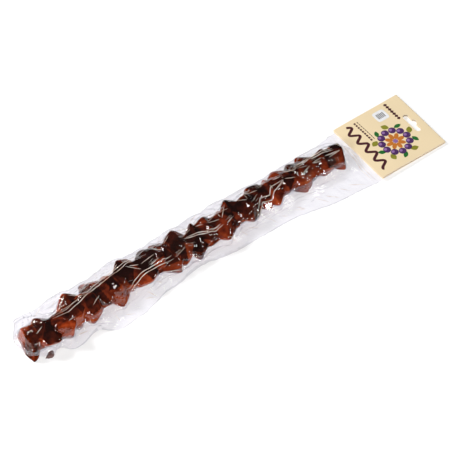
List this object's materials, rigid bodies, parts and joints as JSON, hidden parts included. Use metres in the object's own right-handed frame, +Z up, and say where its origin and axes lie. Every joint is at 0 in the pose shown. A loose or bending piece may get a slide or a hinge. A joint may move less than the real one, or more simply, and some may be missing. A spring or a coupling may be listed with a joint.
{
  "type": "churchkhela",
  "caption": "String of walnut halves in dark grape jelly, sealed in a clear vacuum pouch with wrinkled edges, with a folded cream header card and a hanging slot.",
  "frame": {"origin": "middle of the pack's box, on the surface that it lies on", "axes": "+X along the pack from the bottom seal to the card's fold, +Y across it, +Z up through the shown side"},
  "size_m": [0.506, 0.08, 0.0281],
  "materials": {
    "churchkhela": "glossy",
    "card": "satin",
    "film": "glossy"
  },
  "bodies": {
    "root": {"vacuum_pouch": "churchkhela", "header_card": "card"}
  },
  "joints": []
}
